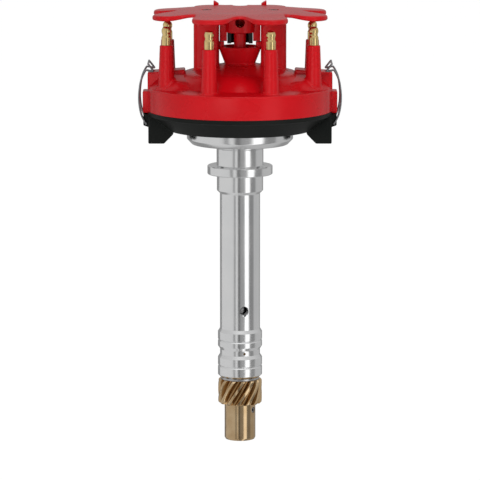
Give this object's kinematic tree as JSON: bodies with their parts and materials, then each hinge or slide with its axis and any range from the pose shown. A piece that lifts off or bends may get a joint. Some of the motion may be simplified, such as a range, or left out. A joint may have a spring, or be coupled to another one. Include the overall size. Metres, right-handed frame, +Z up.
{
  "type": "ignition distributor",
  "caption": "Gear-driven ignition distributor: red cap with male terminals and wire retainer on a black base ring, billet aluminium housing with a long stem, and a bronze helical gear.",
  "frame": {"origin": "centre of the hold-down collar's underside, on the shaft's axis, where the housing seats on the engine", "axes": "+Z up the shaft to the cap, -Y the front seen in the picture, +X to the picture's right"},
  "size_m": [0.1468, 0.1332, 0.3191],
  "materials": {
    "machined_aluminium": "turned and bright",
    "bearing_steel": "ground and polished",
    "brass_cage": "pressed",
    "spring_steel": "dark, oiled",
    "shaft_steel": "ground",
    "screw_steel": "black oxide, worn bright at the edges",
    "bronze": "machined bronze, satin",
    "brass": "turned and bright",
    "black_plastic": "moulded, satin",
    "red_plastic": "moulded, smooth and glossy",
    "carbon": "pressed carbon, dull",
    "black_rubber": "moulded, dull",
    "bail_wire": "spring wire, dark plated"
  },
  "bodies": {
    "housing": {"housing": "machined_aluminium", "bearing_outer_race": "bearing_steel", "bearing_snap_ring": "spring_steel", "lower_bushing": "bronze", "upper_bushing": "bronze", "cap_base_ring": "black_plastic", "base_screws": "screw_steel", "cap_shell": "red_plastic", "plug_terminal_1": "brass", "plug_terminal_2": "brass", "plug_terminal_3": "brass", "plug_terminal_4": "brass", "plug_terminal_5": "brass", "plug_terminal_6": "brass", "plug_terminal_7": "brass", "plug_terminal_8": "brass", "coil_terminal": "brass", "brush_spring": "spring_steel", "wire_retainer": "red_plastic", "retainer_screws": "screw_steel", "lead_liner": "black_rubber"},
    "shaft": {"shaft": "shaft_steel", "shaft_clip": "spring_steel", "bearing_inner_race": "bearing_steel", "drive_gear": "bronze", "gear_roll_pin": "spring_steel", "thrust_washer": "shaft_steel", "rotor_base": "machined_aluminium", "rotor_arm": "red_plastic", "rotor_blade": "brass", "rotor_contact_button": "brass", "rotor_screws": "screw_steel"},
    "bearing_cage": {"bearing_cage": "brass_cage", "bearing_balls": "bearing_steel"},
    "brush": {"carbon_brush": "carbon"},
    "bail_right": {"bail_right": "bail_wire"},
    "bail_left": {"bail_left": "bail_wire"}
  },
  "joints": [
    {"name": "shaft_spin", "type": "hinge", "parent": "housing", "child": "shaft", "pos_m": [0, 0, 0], "axis": [0, 0, 1], "continuous": true},
    {"name": "cage_spin", "type": "hinge", "parent": "housing", "child": "bearing_cage", "pos_m": [0, 0, 0.019], "axis": [0, 0, 1], "continuous": true},
    {"name": "brush_slide", "type": "slide", "parent": "housing", "child": "brush", "axis": [0, 0, 1], "range_m": [0, 0.0015], "stiffness_N_per_m": 150, "springref_m": -0.004, "deforming": ["brush_spring"]},
    {"name": "bail_right_swing", "type": "hinge", "parent": "housing", "child": "bail_right", "pos_m": [0.0676, 0, 0.0375], "axis": [0, 1, 0], "range_deg": [0, 120]},
    {"name": "bail_left_swing", "type": "hinge", "parent": "housing", "child": "bail_left", "pos_m": [-0.0676, 0, 0.0375], "axis": [0, -1, 0], "range_deg": [0, 120]}
  ],
  "couplings": [
    {"joint": "cage_spin", "follows": "shaft_spin", "ratio": 0.3824}
  ]
}
